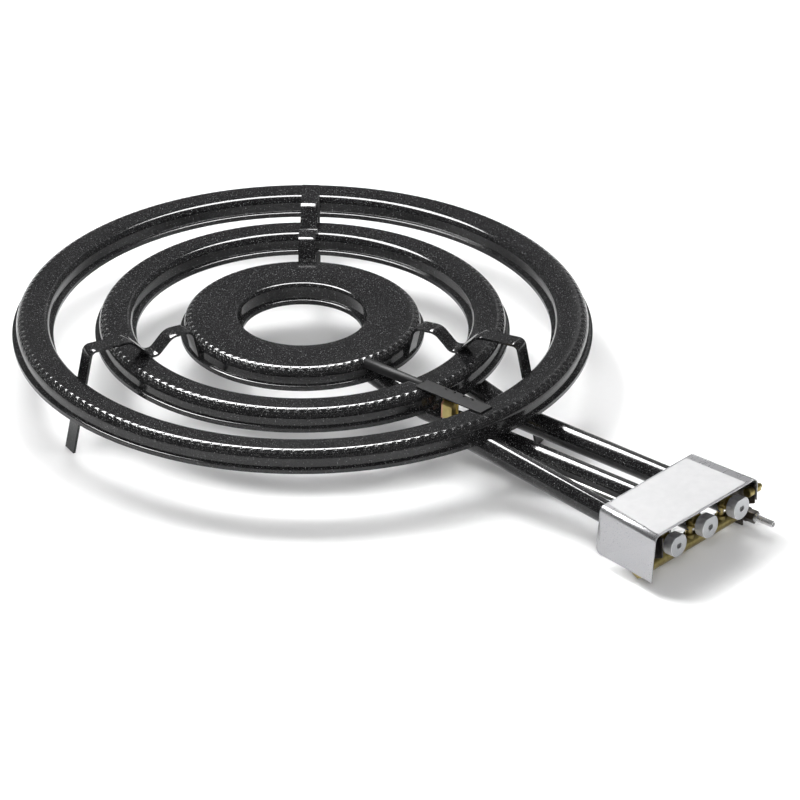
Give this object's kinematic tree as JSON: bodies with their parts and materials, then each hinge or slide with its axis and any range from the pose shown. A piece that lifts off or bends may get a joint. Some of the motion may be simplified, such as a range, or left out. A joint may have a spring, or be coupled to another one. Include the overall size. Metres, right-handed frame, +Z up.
{
  "type": "paella burner",
  "caption": "Gas paella burner: concentric enamelled rings on bent bars that rest the pan and stand as legs, mixing tubes and push-and-turn taps under a folded cover.",
  "frame": {"origin": "middle of the footprint on the floor", "axes": "+Z up, -Y along the mixing tubes to the knobs, +X to the user's right when facing the rings from the knobs"},
  "size_m": [0.6999, 1.003, 0.1316],
  "materials": {
    "enamel": "glossy black vitreous enamel with a fine pale speckle",
    "stainless": "satin stainless sheet",
    "knob_aluminium": "turned aluminium",
    "spindle_steel": "machined steel",
    "copper": "bare copper",
    "line_steel": "drawn steel pipe and wire",
    "dark_steel": "dark steel",
    "bright_steel": "bright plated steel",
    "yellow_zinc": "yellow passivated zinc",
    "brass": "machined brass"
  },
  "bodies": {
    "burner": {"outer_ring_top": "enamel", "outer_ring_base": "enamel", "middle_ring_top": "enamel", "middle_ring_base": "enamel", "inner_ring_top": "enamel", "inner_ring_base": "enamel", "outer_tube": "enamel", "middle_tube": "enamel", "inner_tube": "enamel", "rear_support": "enamel", "left_support": "enamel", "right_support": "enamel", "crossover_channel": "enamel", "crossover_plate": "enamel", "pilot_bracket": "brass", "pilot_burner": "brass", "pilot_nut": "dark_steel", "thermocouple": "copper", "pilot_pipe": "line_steel", "thermocouple_lead": "line_steel", "line_nuts": "brass", "chassis": "dark_steel", "cover": "stainless", "cover_bolt": "yellow_zinc", "cover_nut": "yellow_zinc", "cover_screw": "stainless", "manifold": "yellow_zinc", "manifold_plug": "yellow_zinc", "inlet_elbow": "dark_steel", "inlet_nipple": "bright_steel", "outer_tap_body": "brass", "middle_tap_body": "brass", "inner_tap_body": "brass", "outer_jet": "brass", "middle_jet": "brass", "inner_jet": "brass", "outer_bonnet": "brass", "middle_bonnet": "brass", "inner_bonnet": "brass", "outer_spring": "enamel", "middle_spring": "enamel", "inner_spring": "enamel"},
    "outer_push": {"outer_collar": "brass"},
    "outer_turn": {"outer_spindle": "spindle_steel", "outer_knob": "knob_aluminium"},
    "inner_push": {"inner_collar": "brass"},
    "inner_turn": {"inner_spindle": "spindle_steel", "inner_knob": "knob_aluminium"},
    "middle_push": {"middle_collar": "brass"},
    "middle_turn": {"middle_spindle": "spindle_steel", "middle_knob": "knob_aluminium"}
  },
  "joints": [
    {"name": "outer_tap_push", "type": "slide", "parent": "burner", "child": "outer_push", "axis": [0, 1, 0], "range_m": [0, 0.003], "stiffness_N_per_m": 800, "springref_m": -0.003, "deforming": ["outer_spring"]},
    {"name": "outer_tap_turn", "type": "hinge", "parent": "outer_push", "child": "outer_turn", "pos_m": [-0.058, -0.4505, 0.044], "axis": [0, -1, 0], "range_deg": [0, 180]},
    {"name": "inner_tap_push", "type": "slide", "parent": "burner", "child": "inner_push", "axis": [0, 1, 0], "range_m": [0, 0.003], "stiffness_N_per_m": 800, "springref_m": -0.003, "deforming": ["inner_spring"]},
    {"name": "inner_tap_turn", "type": "hinge", "parent": "inner_push", "child": "inner_turn", "pos_m": [0, -0.4505, 0.044], "axis": [0, -1, 0], "range_deg": [0, 180]},
    {"name": "middle_tap_push", "type": "slide", "parent": "burner", "child": "middle_push", "axis": [0, 1, 0], "range_m": [0, 0.003], "stiffness_N_per_m": 800, "springref_m": -0.003, "deforming": ["middle_spring"]},
    {"name": "middle_tap_turn", "type": "hinge", "parent": "middle_push", "child": "middle_turn", "pos_m": [0.058, -0.4505, 0.044], "axis": [0, -1, 0], "range_deg": [0, 180]}
  ]
}
